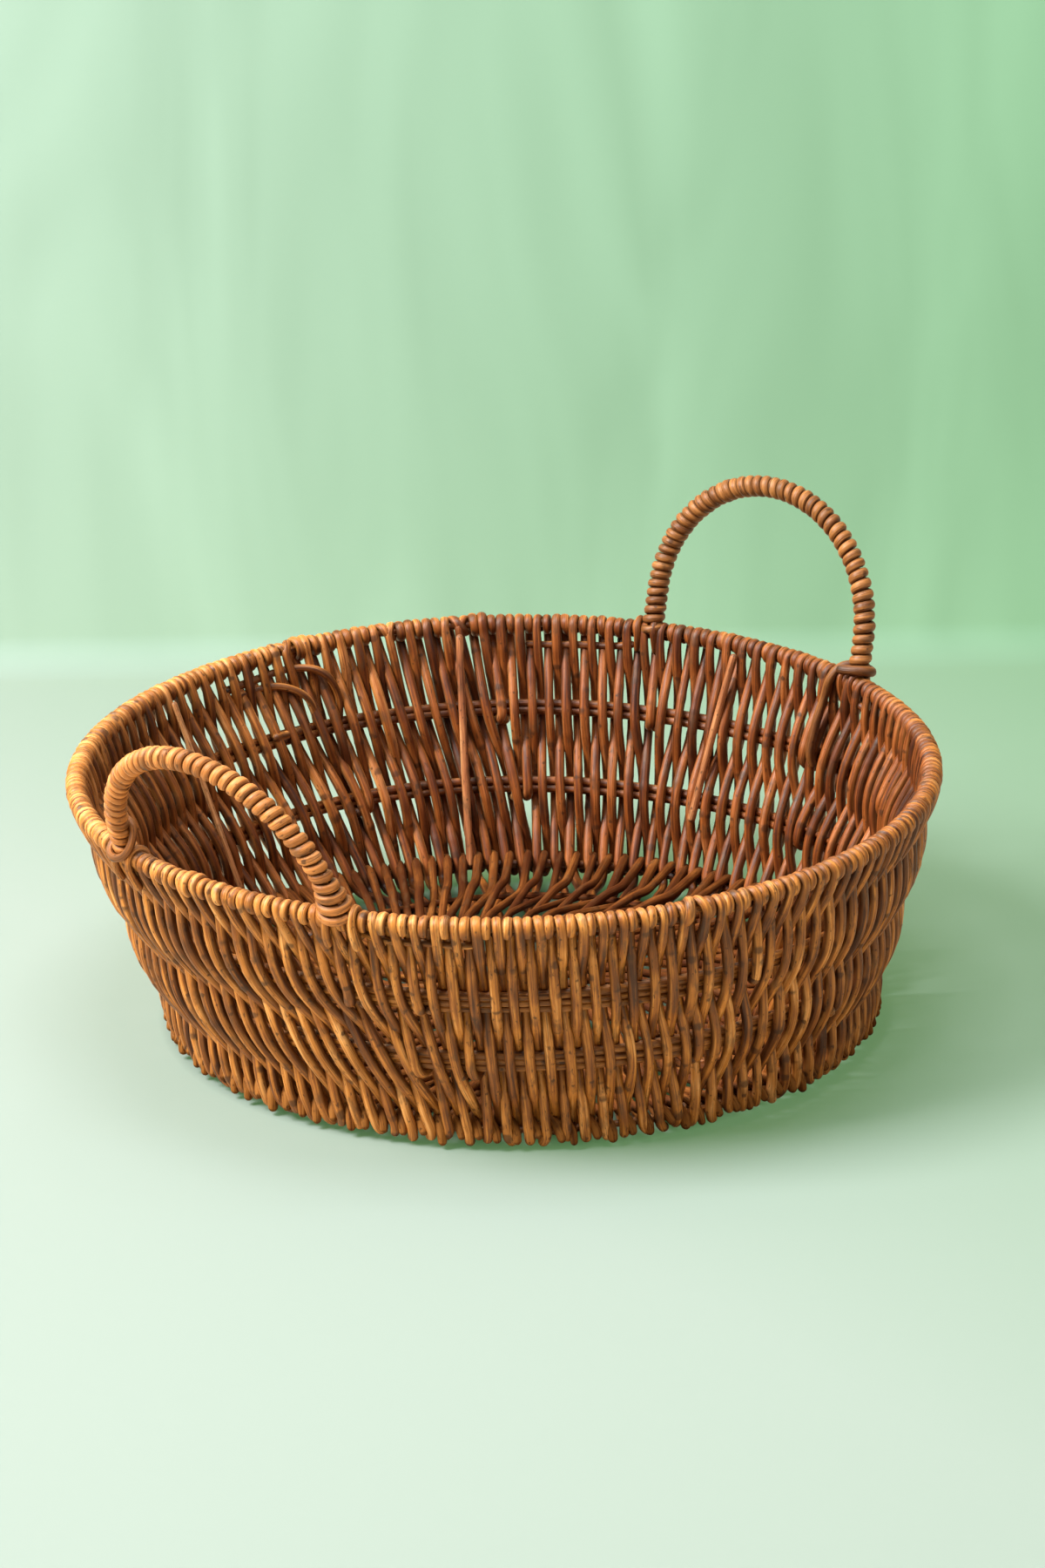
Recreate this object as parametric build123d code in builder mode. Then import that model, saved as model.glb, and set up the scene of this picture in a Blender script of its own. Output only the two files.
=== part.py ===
"""Round flared wicker basket with two hooped handles, built rod by rod.

Frame: millimetres, +Z up, origin at the centre of the underside, handles on the X axis.
Every strand lies in its own upright plane through the Z axis and passes in front of one
pair of hoops and behind the next, so neighbouring strands cross between the hoops.
"""

import os
from math import asin, atan2, cos, degrees, floor, pi, radians, sin, tan

from build123d import *

# --- driving dimensions: the wall is a straight cone from the base hoop to the rim ---
RIM_RADIUS = 201.5
RIM_HEIGHT = 123.0
BASE_HOOP_RADIUS = 164.0
UPPER_HOOP_HEIGHT = 83.3
LOWER_HOOP_HEIGHT = 46.4

# --- rods and the gaps between them --------------------------------------------------
STRAND_DIAMETER = 3.4
HOOP_DIAMETER = 3.6
RIM_ROD_DIAMETER = 3.8
SEAT_GAP = 0.1
SIDE_GAP = 0.25
WEAR_DEPTH = 0.2
STRAIGHT_TURN = 1e-6

# --- how a strand bends --------------------------------------------------------------
WEAVE_BEND = 8.0
WEAVE_RUN = 3.0
RIM_TUCK = 2.0
BASE_LEG = 7.0
BASE_DROP = 3.5
BASE_TUCK = 1.0

# --- floor ---------------------------------------------------------------------------
FLOOR_UNDERSIDE = 4.5
SPOKE_STUB = 4.0
SPOKE_LIP = 1.2

# --- handles -------------------------------------------------------------------------
HANDLE_SPAN = 126.5
RIGHT_HANDLE_RISE = 80.5
LEFT_HANDLE_RISE = 66.8
HANDLE_LEAN = 18.3
HANDLE_CORE_DIAMETER = 3.6
WRAP_DIAMETER = 3.4
WRAP_PITCH = 3.9
SADDLE_TAIL = 26.0
SADDLE_GAP = 0.5
TAIL_DROP = 9.0
TAIL_LENGTH = 57.0

# --- loose ends laid in along the inside of the wall ----------------------------------
LINER_ANGLES = (2.0, 45.5, 91.0)
LINER_OVERHANG = 4.0
LINER_TOP_DROP = 3.0
PACKING_ROD_ANGLE = 67.0
PACKING_ROD_LENGTH = 47.0

# --- grouping: strands go into equal sectors, spokes need a multiple of eight ---------
SECTORS = 8

# --- derived: hoops and wall ----------------------------------------------------------
strand_radius = STRAND_DIAMETER / 2
rim_hook = RIM_ROD_DIAMETER / 2 + SEAT_GAP + strand_radius
weave_offset = HOOP_DIAMETER / 2 + SEAT_GAP + strand_radius
rim_bundle_radius = rim_hook + strand_radius
base_turn_height = strand_radius - WEAR_DEPTH
base_hoop_height = base_turn_height + weave_offset + BASE_DROP
hoop_pitch = HOOP_DIAMETER + SEAT_GAP
wall_slope = (RIM_RADIUS - BASE_HOOP_RADIUS) / (RIM_HEIGHT - base_hoop_height)
wall_lean = atan2(RIM_RADIUS - BASE_HOOP_RADIUS, RIM_HEIGHT - base_hoop_height)

# --- derived: how many strands the tightest circle of the wall holds ------------------
tightest_radius = min(RIM_RADIUS - rim_hook, BASE_HOOP_RADIUS - weave_offset)
strand_pitch = STRAND_DIAMETER + SIDE_GAP
pair_count = SECTORS * floor(pi * tightest_radius / strand_pitch / SECTORS)
pairs_per_sector = pair_count // SECTORS
pair_angle = 360 / pair_count
sector_angle = 360 / SECTORS

# --- derived: floor -------------------------------------------------------------------
spoke_low = FLOOR_UNDERSIDE + strand_radius
spoke_rise = STRAND_DIAMETER + SEAT_GAP
floor_height = spoke_low + spoke_rise
spoke_high = floor_height + spoke_rise


def crowding_radius(count):
    """Radius of the circle on which this many strands lie side by side."""
    return count * strand_pitch / (2 * pi)


short_spoke_end = crowding_radius(pair_count)
medium_spoke_end = crowding_radius(pair_count // 2)
long_spoke_end = crowding_radius(pair_count // 8)
middle_floor_hoop = short_spoke_end + SPOKE_STUB
inner_floor_hoop = medium_spoke_end + SPOKE_STUB
centre_floor_hoop = crowding_radius(pair_count // 4) + SPOKE_STUB
outer_floor_hoop = (BASE_HOOP_RADIUS + middle_floor_hoop) / 2
coil_turns = round((long_spoke_end + SPOKE_STUB) / spoke_rise)


# --- strands are drawn as (radius, height) points and bent with tangent arcs ----------
def wall_radius(height):
    """Radius of the wall's middle surface at a height."""
    return BASE_HOOP_RADIUS + (height - base_hoop_height) * wall_slope


def beside_hoops(height, side):
    """The straight run of a strand past a pair of hoops: side +1 is outside, -1 inside."""
    centre = Vector(wall_radius(height), height)
    outward = Vector(cos(wall_lean), -sin(wall_lean)) * weave_offset * side
    upward = Vector(sin(wall_lean), cos(wall_lean)) * WEAVE_RUN
    return [centre + outward + upward, centre + outward - upward]


def draw_bent_rod(points, bends):
    """Lines between (radius, height) points, with a tangent arc at each inner point."""
    route = [Vector(point[0], 0, point[1]) for point in points]
    start = route[0]
    for before, corner, after, bend in zip(route, route[1:], route[2:], bends):
        incoming = (corner - before).normalized()
        outgoing = (after - corner).normalized()
        half_turn = radians(incoming.get_angle(outgoing)) / 2
        if half_turn < STRAIGHT_TURN:
            continue
        arc_start = corner - incoming * bend * tan(half_turn)
        arc_end = corner + outgoing * bend * tan(half_turn)
        inward = (outgoing - incoming).normalized()
        arc_middle = corner + inward * bend * (1 / cos(half_turn) - 1)
        Line(start, arc_start)
        ThreePointArc(arc_start, arc_middle, arc_end)
        start = arc_end
    Line(start, route[-1])


def rod_along(points, bends, diameter):
    """A round rod swept along a bent route in the XZ plane."""
    with BuildPart() as rod:
        with BuildLine() as route:
            draw_bent_rod(points, bends)
        with BuildSketch(Plane(origin=route.line @ 0, z_dir=route.line % 0)):
            Circle(diameter / 2)
        sweep(path=route.line)
    return rod.part


def over_rim(first_side):
    """Points over the rim rod, from the tucked end on first_side to the other side."""
    near = RIM_RADIUS + rim_hook * first_side
    far = RIM_RADIUS - rim_hook * first_side
    return [
        (near, RIM_HEIGHT - RIM_TUCK),
        (near, RIM_HEIGHT + rim_hook),
        (far, RIM_HEIGHT + rim_hook),
        (far, RIM_HEIGHT - rim_hook),
    ]


def as_pairs(vectors):
    return [(vector.X, vector.Y) for vector in vectors]


rim_bend = rim_hook - SEAT_GAP
base_bend = weave_offset - SEAT_GAP
base_leg_height = base_hoop_height + BASE_LEG

# strands that start outside the rim: short beads outside, then outside the upper hoops
outer_base_radius = BASE_HOOP_RADIUS + weave_offset
short_bead_points = (
    over_rim(1)
    + as_pairs(beside_hoops(UPPER_HOOP_HEIGHT, 1))
    + as_pairs(beside_hoops(LOWER_HOOP_HEIGHT, -1))
    + [
        (outer_base_radius, base_leg_height),
        (outer_base_radius, base_turn_height),
        (BASE_HOOP_RADIUS - BASE_TUCK, base_turn_height),
    ]
)
short_bead_bends = [rim_bend] * 2 + [WEAVE_BEND] * 6 + [base_bend]

# strands that start inside the rim: long beads outside, then inside the upper hoops
inner_base_radius = BASE_HOOP_RADIUS - weave_offset
long_bead_points = (
    over_rim(-1)
    + as_pairs(beside_hoops(UPPER_HOOP_HEIGHT, -1))
    + as_pairs(beside_hoops(LOWER_HOOP_HEIGHT, 1))
    + [(inner_base_radius, base_leg_height), (inner_base_radius, FLOOR_UNDERSIDE)]
)
long_bead_bends = [rim_bend] * 2 + [WEAVE_BEND] * 6

os.makedirs("parts", exist_ok=True)


def write_node(builder, name):
    builder.part.label = name
    export_step(builder.part, f"parts/{name}.step")


# --- hoops ----------------------------------------------------------------------------
with BuildPart() as rim_hoop:
    with Locations((0, 0, RIM_HEIGHT)):
        Torus(RIM_RADIUS, RIM_ROD_DIAMETER / 2)
write_node(rim_hoop, "rim_hoop")

HOOP_PAIRS = {"upper": UPPER_HOOP_HEIGHT, "lower": LOWER_HOOP_HEIGHT}
for pair_name, pair_height in HOOP_PAIRS.items():
    for rod_name, rod_side in (("top", 0.5), ("bottom", -0.5)):
        rod_shift = hoop_pitch * rod_side
        rod_radius = wall_radius(pair_height) + rod_shift * sin(wall_lean)
        with BuildPart() as wall_hoop:
            with Locations((0, 0, pair_height + rod_shift * cos(wall_lean))):
                Torus(rod_radius, HOOP_DIAMETER / 2)
        write_node(wall_hoop, f"{pair_name}_hoop_{rod_name}_rod")

with BuildPart() as base_hoop:
    with Locations((0, 0, base_hoop_height)):
        Torus(BASE_HOOP_RADIUS, HOOP_DIAMETER / 2)
write_node(base_hoop, "base_hoop")

FLOOR_HOOPS = {
    "outer_floor_hoop": outer_floor_hoop,
    "middle_floor_hoop": middle_floor_hoop,
    "inner_floor_hoop": inner_floor_hoop,
    "centre_floor_hoop": centre_floor_hoop,
}
for hoop_name, hoop_radius in FLOOR_HOOPS.items():
    with BuildPart() as floor_hoop:
        with Locations((0, 0, floor_height)):
            Torus(hoop_radius, strand_radius)
    write_node(floor_hoop, hoop_name)

with BuildPart() as floor_centre_coil:
    with Locations((0, 0, floor_height)):
        for turn in range(coil_turns):
            Torus(spoke_rise * (turn + 0.5), strand_radius)
write_node(floor_centre_coil, "floor_centre_coil")

# --- wall strands ---------------------------------------------------------------------
with BuildPart() as short_bead_strand:
    add(rod_along(short_bead_points, short_bead_bends, STRAND_DIAMETER))
    split(bisect_by=Plane.XY, keep=Keep.TOP)

with BuildPart() as long_bead_strand:
    add(rod_along(long_bead_points, long_bead_bends, STRAND_DIAMETER))

STRAND_KINDS = {"short_bead": (short_bead_strand, 0), "long_bead": (long_bead_strand, 0.5)}
for kind_name, (strand, half_step) in STRAND_KINDS.items():
    for sector in range(SECTORS):
        first_angle = sector * sector_angle + half_step * pair_angle
        with BuildPart() as strand_group:
            with PolarLocations(0, pairs_per_sector, first_angle, sector_angle):
                add(strand.part)
        write_node(strand_group, f"{kind_name}_strands_{sector + 1}")


# --- floor spokes: each hooks over the base hoop and weaves inward ---------------------
def spoke_points(levels, end_radius):
    """A spoke from the base hoop, past each floor hoop at a height, to end_radius."""
    points = [
        (BASE_HOOP_RADIUS + SPOKE_LIP, base_hoop_height + weave_offset),
        (BASE_HOOP_RADIUS - WEAVE_RUN, base_hoop_height + weave_offset),
    ]
    for hoop_radius, height in levels:
        points += [(hoop_radius + WEAVE_RUN, height), (hoop_radius - WEAVE_RUN, height)]
    return points[:-1] + [(end_radius, levels[-1][1])]


def lay_spokes(points, name, first, step):
    """Copies of one spoke in every step-th pair, starting from pair number first."""
    bends = [WEAVE_BEND] * (len(points) - 2)
    with BuildPart() as spokes:
        with PolarLocations(0, pair_count // step, first * pair_angle):
            add(rod_along(points, bends, STRAND_DIAMETER))
    write_node(spokes, name)


under_outer = [(outer_floor_hoop, spoke_low), (middle_floor_hoop, spoke_high)]
over_outer = [(outer_floor_hoop, spoke_high), (middle_floor_hoop, spoke_low)]
over_inner = over_outer + [(inner_floor_hoop, spoke_high)]
under_inner = over_outer + [(inner_floor_hoop, spoke_low)]
lay_spokes(spoke_points(under_outer, short_spoke_end), "short_floor_spokes", 1, 2)
lay_spokes(spoke_points(over_inner, medium_spoke_end), "medium_floor_spokes", 2, 4)
lay_spokes(
    spoke_points(under_inner + [(centre_floor_hoop, spoke_high)], long_spoke_end),
    "long_floor_spokes_over_centre",
    0,
    8,
)
lay_spokes(
    spoke_points(under_inner + [(centre_floor_hoop, spoke_low)], long_spoke_end),
    "long_floor_spokes_under_centre",
    4,
    8,
)

# --- handles: a bent core rod wrapped in close turns, leaning outward -------------------
arch_radius = HANDLE_SPAN / 2
foot_angle = degrees(asin(arch_radius / RIM_RADIUS))
lean_slope = tan(radians(HANDLE_LEAN))
core_radius = HANDLE_CORE_DIAMETER / 2
core_foot = (rim_bundle_radius + SEAT_GAP) / cos(radians(HANDLE_LEAN)) + core_radius * lean_slope
wrap_ring_radius = core_radius + SEAT_GAP + WRAP_DIAMETER / 2
wrap_bundle_radius = wrap_ring_radius + WRAP_DIAMETER / 2
first_turn = (rim_bundle_radius + SEAT_GAP + WRAP_DIAMETER / 2) / cos(radians(HANDLE_LEAN))
arch_turns = floor(pi * arch_radius / WRAP_PITCH)
arch_step = 180 / arch_turns

handle_plane = Plane(
    origin=(RIM_RADIUS * cos(radians(foot_angle)), 0, RIM_HEIGHT),
    x_dir=(0, 1, 0),
    z_dir=(cos(radians(HANDLE_LEAN)), 0, -sin(radians(HANDLE_LEAN))),
)


def arch_height(rise):
    """Height of the arch's centre in the handle plane."""
    return rise / cos(radians(HANDLE_LEAN)) - arch_radius


def core_rod(rise):
    """The bent rod inside a handle, standing on the rim at both feet."""
    centre = arch_height(rise)
    with BuildPart() as core:
        with BuildLine(handle_plane) as arch_route:
            Line((-arch_radius, core_foot), (-arch_radius, centre))
            ThreePointArc(
                (-arch_radius, centre), (0, centre + arch_radius), (arch_radius, centre)
            )
            Line((arch_radius, centre), (arch_radius, core_foot))
        with BuildSketch(Plane(origin=arch_route.line @ 0, z_dir=arch_route.line % 0)):
            Circle(core_radius)
        sweep(path=arch_route.line)
    return core


def wrap_turns(rise):
    """The turns wound side by side around a handle's legs and arch."""
    centre = arch_height(rise)
    leg_turns = 1 + floor((centre - first_turn) / WRAP_PITCH)
    with BuildPart(handle_plane) as wrap:
        for leg_side in (-arch_radius, arch_radius):
            for turn in range(leg_turns):
                with Locations((leg_side, first_turn + turn * WRAP_PITCH)):
                    Torus(wrap_ring_radius, WRAP_DIAMETER / 2, rotation=(90, 0, 0))
        with Locations((0, centre)):
            with PolarLocations(arch_radius, arch_turns, arch_step / 2, 180):
                Torus(wrap_ring_radius, WRAP_DIAMETER / 2, rotation=(90, 0, 0))
    return wrap


# --- foot bindings: saddles over the rim on both sides of a leg, and the tucked tails ---
saddle_hook = rim_bundle_radius + SEAT_GAP + WRAP_DIAMETER / 2
saddle_bend = saddle_hook - SEAT_GAP
saddle_end = RIM_HEIGHT - SADDLE_TAIL
leg_plan = Vector(handle_plane.origin.X + first_turn * sin(radians(HANDLE_LEAN)), arch_radius)
leg_angle = degrees(atan2(leg_plan.Y, leg_plan.X))
saddle_reach = wrap_bundle_radius + SADDLE_GAP + WRAP_DIAMETER / 2
saddle_shift = degrees(asin(saddle_reach / leg_plan.length))


def beside_run(strand_points, height, side):
    """Radius at a height of a rod laid against a strand's first run below the rim."""
    (top_radius, top_height), (low_radius, low_height) = strand_points[3:5]
    slope = (top_radius - low_radius) / (top_height - low_height)
    reach = strand_radius + WRAP_DIAMETER / 2 + SIDE_GAP
    return low_radius + (height - low_height) * slope + side * reach / cos(atan2(slope, 1))


saddle_points = [
    (beside_run(short_bead_points, saddle_end, 1), saddle_end),
    (RIM_RADIUS + saddle_hook, RIM_HEIGHT - rim_hook),
    (RIM_RADIUS + saddle_hook, RIM_HEIGHT + saddle_hook),
    (RIM_RADIUS - saddle_hook, RIM_HEIGHT + saddle_hook),
    (RIM_RADIUS - saddle_hook, RIM_HEIGHT - rim_hook),
    (beside_run(long_bead_points, saddle_end, -1), saddle_end),
]
saddle_bends = [WEAVE_BEND, saddle_bend, saddle_bend, WEAVE_BEND]

with BuildPart() as foot_saddles:
    for foot in (-leg_angle, leg_angle):
        for shift in (-saddle_shift, saddle_shift):
            with Locations(Rotation(0, 0, foot + shift)):
                add(rod_along(saddle_points, saddle_bends, WRAP_DIAMETER))

tail_height = RIM_HEIGHT - TAIL_DROP
tail_radius = min(
    beside_run(short_bead_points, tail_height, -1),
    RIM_RADIUS - rim_bundle_radius - SIDE_GAP - WRAP_DIAMETER / 2,
)
tail_start = leg_angle + saddle_shift + degrees((WRAP_DIAMETER + SIDE_GAP) / tail_radius)


def rod_under_rim(start_angle, length):
    """A rod end lying along the inside of the wall just under the rim."""
    with BuildPart() as rod:
        with BuildLine(Plane.XY.offset(tail_height)) as route:
            CenterArc((0, 0), tail_radius, start_angle, degrees(length / tail_radius))
        with BuildSketch(Plane(origin=route.line @ 0, z_dir=route.line % 0)):
            Circle(WRAP_DIAMETER / 2)
        sweep(path=route.line)
    return rod.part


with BuildPart() as handle_tails:
    add(rod_under_rim(tail_start, TAIL_LENGTH))
    add(rod_under_rim(-tail_start, -TAIL_LENGTH))

HANDLE_SIDES = {"right": (0, RIGHT_HANDLE_RISE), "left": (180, LEFT_HANDLE_RISE)}
for side_name, (half_turn_angle, handle_rise) in HANDLE_SIDES.items():
    handle_pieces = {
        "handle_core": core_rod(handle_rise),
        "handle_wrap": wrap_turns(handle_rise),
        "handle_saddles": foot_saddles,
        "handle_tails": handle_tails,
    }
    for piece_name, piece in handle_pieces.items():
        with BuildPart() as handle_node:
            with Locations(Rotation(0, 0, half_turn_angle)):
                add(piece.part)
        write_node(handle_node, f"{side_name}_{piece_name}")

# --- loose ends laid in along the inside of the wall ------------------------------------
liner_top = RIM_HEIGHT - LINER_TOP_DROP
liner_bottom = LOWER_HOOP_HEIGHT - LINER_OVERHANG
liner_offset = (weave_offset + STRAND_DIAMETER + SEAT_GAP) / cos(wall_lean)
liner_points = [
    (wall_radius(liner_top) - liner_offset, liner_top),
    (wall_radius(liner_bottom) - liner_offset, liner_bottom),
]
with BuildPart() as liner_rods:
    for liner_angle in LINER_ANGLES:
        with Locations(Rotation(0, 0, liner_angle)):
            add(rod_along(liner_points, [], STRAND_DIAMETER))
write_node(liner_rods, "liner_rods")

with BuildPart() as rim_packing_rod:
    add(rod_under_rim(PACKING_ROD_ANGLE, PACKING_ROD_LENGTH))
write_node(rim_packing_rod, "rim_packing_rod")
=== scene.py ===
"""Looks of the wicker basket: every rod as a bent, tapering, knotty willow strand."""

import math
from dataclasses import dataclass

import bpy
import numpy as np
from mathutils import Matrix, Vector


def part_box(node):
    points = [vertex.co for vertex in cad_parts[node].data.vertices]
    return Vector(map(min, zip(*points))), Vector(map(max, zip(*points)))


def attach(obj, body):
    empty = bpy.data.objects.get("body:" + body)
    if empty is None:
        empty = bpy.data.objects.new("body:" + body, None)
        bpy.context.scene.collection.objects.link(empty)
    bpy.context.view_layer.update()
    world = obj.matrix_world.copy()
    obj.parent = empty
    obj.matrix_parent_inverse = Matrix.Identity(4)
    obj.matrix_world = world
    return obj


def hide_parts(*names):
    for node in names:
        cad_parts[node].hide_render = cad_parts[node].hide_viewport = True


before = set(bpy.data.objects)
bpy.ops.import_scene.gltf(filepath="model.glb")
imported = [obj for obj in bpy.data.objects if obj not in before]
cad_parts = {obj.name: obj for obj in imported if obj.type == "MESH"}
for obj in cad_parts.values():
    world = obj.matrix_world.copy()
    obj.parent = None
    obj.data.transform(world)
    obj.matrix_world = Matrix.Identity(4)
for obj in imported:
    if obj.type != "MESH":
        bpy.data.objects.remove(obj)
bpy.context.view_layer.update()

MM = 0.001
SEED = 20
rng = np.random.RandomState(SEED)


# --- sizes read from the frame ---
def hoop_of(node):
    """Radius, height and rod radius of a hoop node."""
    low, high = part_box(node)
    rod = (high[2] - low[2]) / 2
    return (high[0] - low[0]) / 2 - rod, (high[2] + low[2]) / 2, rod


RIM_RADIUS, RIM_HEIGHT, RIM_ROD = hoop_of("rim_hoop")
PAIRED_HOOPS = ("upper_hoop_top_rod", "upper_hoop_bottom_rod", "lower_hoop_top_rod", "lower_hoop_bottom_rod")
UPPER_TOP, UPPER_BOTTOM, LOWER_TOP, LOWER_BOTTOM = map(hoop_of, PAIRED_HOOPS)
BASE_RADIUS, BASE_HEIGHT, HOOP_ROD = hoop_of("base_hoop")
UPPER_HEIGHT = (UPPER_TOP[1] + UPPER_BOTTOM[1]) / 2
LOWER_HEIGHT = (LOWER_TOP[1] + LOWER_BOTTOM[1]) / 2
WALL_SLOPE = (RIM_RADIUS - BASE_RADIUS) / (RIM_HEIGHT - BASE_HEIGHT)

SECTORS = 8
PAIRS = 136
PAIR_ANGLE = 2 * math.pi / PAIRS

# Half width of a strand on the wall, and its half width and half depth where it lies over the rim.
STRAND_RADIUS = 2.45 * MM
RIM_STRAND_WIDTH = 2.32 * MM
RIM_STRAND_DEPTH = 1.8 * MM
# The room between a strand and the rod that carries it, and how far apart their middles are.
SEAT = 0.1 * MM
RIM_HOOK = RIM_ROD + RIM_STRAND_DEPTH
WEAVE_OFFSET = HOOP_ROD + SEAT + STRAND_RADIUS
# Keeps a division by a length whole where the length is zero.
TINY = 1e-12


def wall_radius(height):
    """Radius of the middle of the wall at a height."""
    return BASE_RADIUS + (height - BASE_HEIGHT) * WALL_SLOPE


def round_point(angle, radius, height):
    """Points from azimuth, radius and height arrays."""
    angle, radius, height = np.broadcast_arrays(angle, radius, height)
    return np.stack([radius * np.cos(angle), radius * np.sin(angle), height], axis=1)


def azimuth_of(points):
    return np.arctan2(points[:, 1], points[:, 0])


def window(azimuth, centre, low, span):
    """1 near one azimuth and 0 far from it: it rises as their cosine climbs by span from low."""
    return np.clip((np.cos(azimuth - centre) - low) / span, 0, 1)


def unit(vectors, least=0.0):
    """Vectors of length one; least is added to lengths that may be zero."""
    return vectors / (np.linalg.norm(vectors, axis=-1, keepdims=True) + least)


# --- rods ---
@dataclass
class Rod:
    """A rod's centre line, its half width and half depth, and its look."""

    points: np.ndarray
    width: np.ndarray
    depth: np.ndarray
    across: np.ndarray
    tone: np.ndarray
    marks: np.ndarray


# The fewest points on a rod's line, and knots in its wavering.
FEWEST = 4


def lengths_along(points):
    """The length of a line up to each of its points."""
    return np.concatenate([[0.0], np.cumsum(np.linalg.norm(np.diff(points, axis=0), axis=1))])


def resample(points, step, *values):
    """The line and its values at even steps of length."""
    length = lengths_along(points)
    count = max(FEWEST, int(round(length[-1] / step)) + 1)
    even = np.linspace(0.0, length[-1], count)
    line = np.stack([np.interp(even, length, points[:, k]) for k in range(3)], axis=1)
    return [line, even] + [np.interp(even, length, value) for value in values]


def smooth_line(points):
    """Softens corners of a sampled line and keeps its ends."""
    line = points.copy()
    for _ in range(2):
        line[1:-1] = (line[:-2] + 2 * line[1:-1] + line[2:]) / 4
    return line


def spline(knots, samples):
    """A Catmull-Rom curve through a few knots, with this many points from one to the next."""
    knots = np.asarray(knots, float)
    padded = np.vstack([2 * knots[0] - knots[1], knots, 2 * knots[-1] - knots[-2]])
    t = np.linspace(0, 1, samples, endpoint=False)[:, None]
    spans = []
    for a, b, c, d in zip(padded, padded[1:], padded[2:], padded[3:]):
        spans.append(0.5 * (2 * b + (c - a) * t + (2 * a - 5 * b + 4 * c - d) * t**2
                            + (3 * b - a - 3 * c + d) * t**3))
    return np.vstack(spans + [knots[-1:]])


def wander(length, scale, amount):
    """Slow random wavering along a rod."""
    knots = max(FEWEST, int(length[-1] / scale) + 2)
    return np.interp(length, np.linspace(0, length[-1], knots), rng.normal(0, amount, knots))


# A knot's length and how that varies, how far it swells the rod, and how dark it is.
KNOT_LENGTH, KNOT_STRETCH, KNOT_SWELL, KNOT_DARKNESS = 1.4 * MM, (0.7, 1.5), 0.07, (0.4, 1.3)
# How much a rod's thickness and tone waver, and over what length.
SWELL, SWELL_LENGTH = 0.035, 14 * MM
TONE_WAVER, TONE_LENGTH = 0.35, 45 * MM
TONE_SPREAD = 0.35
SIDES = 12
AROUND = np.linspace(0, 2 * np.pi, SIDES, endpoint=False)


def grow(points, width, depth=None, across=None, tone=None, step=1.7 * MM, knots=7.0):
    """Makes a Rod of a sampled line: even steps, slight wavering, knots and rounded ends."""
    depth = width if depth is None else depth
    values = [np.broadcast_to(value, len(points)).astype(float) for value in (width, depth)]
    line, length, wide, deep = resample(points, step, *values)
    line = smooth_line(line)
    side = across(line) if across else steady_side(line)
    swell = 1 + wander(length, SWELL_LENGTH, SWELL)
    marks = np.zeros((len(line), SIDES))
    for place in rng.uniform(0, length[-1], rng.poisson(knots)):
        knot = np.exp(-((length - place) / (KNOT_LENGTH * rng.uniform(*KNOT_STRETCH))) ** 2)
        facing = np.clip(np.cos(AROUND - rng.uniform(0, 2 * np.pi)), 0, 1)
        swell += KNOT_SWELL * knot
        marks = np.maximum(marks, rng.uniform(*KNOT_DARKNESS) * knot[:, None] * facing)
    tone = rng.normal(0, 1) if tone is None else tone + rng.normal(0, TONE_SPREAD)
    tone = tone + wander(length, TONE_LENGTH, TONE_WAVER)
    return round_ends(Rod(line, wide * swell, deep * swell, side, tone, marks))


# A direction that no rod starts along.
SKEW = (0.31, 0.52, 0.79)


def steady_side(line):
    """A sideways direction carried along the line without twist."""
    tangents = unit(np.gradient(line, axis=0))
    side = np.cross(tangents[0], SKEW)
    sides = []
    for tangent in tangents:
        side = side - tangent * np.dot(side, tangent)
        side = side / np.linalg.norm(side)
        sides.append(side)
    return np.array(sides)


def around_axis(line):
    """Sideways direction of a wall strand: along the basket's circumference."""
    return unit(np.stack([-line[:, 1], line[:, 0], np.zeros(len(line))], axis=1))


# A dome's rings, as angles from the rod's last ring to the dome's tip, and the knot mark on a cut end.
DOME = np.radians([25, 50, 72, 88])
END_MARK = 0.5


def round_ends(rod):
    """Adds a dome to both ends of a rod."""
    lead = rod.points[0] - rod.points[1]
    tail = rod.points[-1] - rod.points[-2]
    lead /= np.linalg.norm(lead)
    tail /= np.linalg.norm(tail)
    reach, shrink, rings = np.sin(DOME)[:, None], np.cos(DOME), len(DOME)
    start = rod.points[0] + lead * rod.depth[0] * reach
    end = rod.points[-1] + tail * rod.depth[-1] * reach
    rod.points = np.vstack([start[::-1], rod.points, end])
    rod.width = np.concatenate([rod.width[0] * shrink[::-1], rod.width, rod.width[-1] * shrink])
    rod.depth = np.concatenate([rod.depth[0] * shrink[::-1], rod.depth, rod.depth[-1] * shrink])
    rod.across = np.pad(rod.across, ((rings, rings), (0, 0)), mode="edge")
    rod.marks = np.pad(rod.marks, ((rings, rings), (0, 0)), constant_values=END_MARK)
    rod.tone = np.pad(rod.tone, rings, mode="edge")
    return rod


# The basket is a little out of true: its base sits to one side of its rim, and the rim sags at the back.
LEAN_AZIMUTH = math.radians(-50.5)
BASE_SHIFT, RIM_SHIFT = 5.5 * MM, -2.0 * MM
SAG_AZIMUTH, RIM_SAG = math.radians(100), 2.8 * MM


def leaned(points):
    """Points of the true basket, moved as its wall leans and its rim sags."""
    share = points[:, 2:] / RIM_HEIGHT
    shift = BASE_SHIFT + (RIM_SHIFT - BASE_SHIFT) * share
    near = np.maximum(np.cos(azimuth_of(points)[:, None] - SAG_AZIMUTH), 0)
    sag = RIM_SAG * near ** 3 * np.clip(share, 0, 1) ** 2
    points = points + shift * [math.cos(LEAN_AZIMUTH), math.sin(LEAN_AZIMUTH), 0.0]
    return points - sag * [0.0, 0.0, 1.0]


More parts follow.
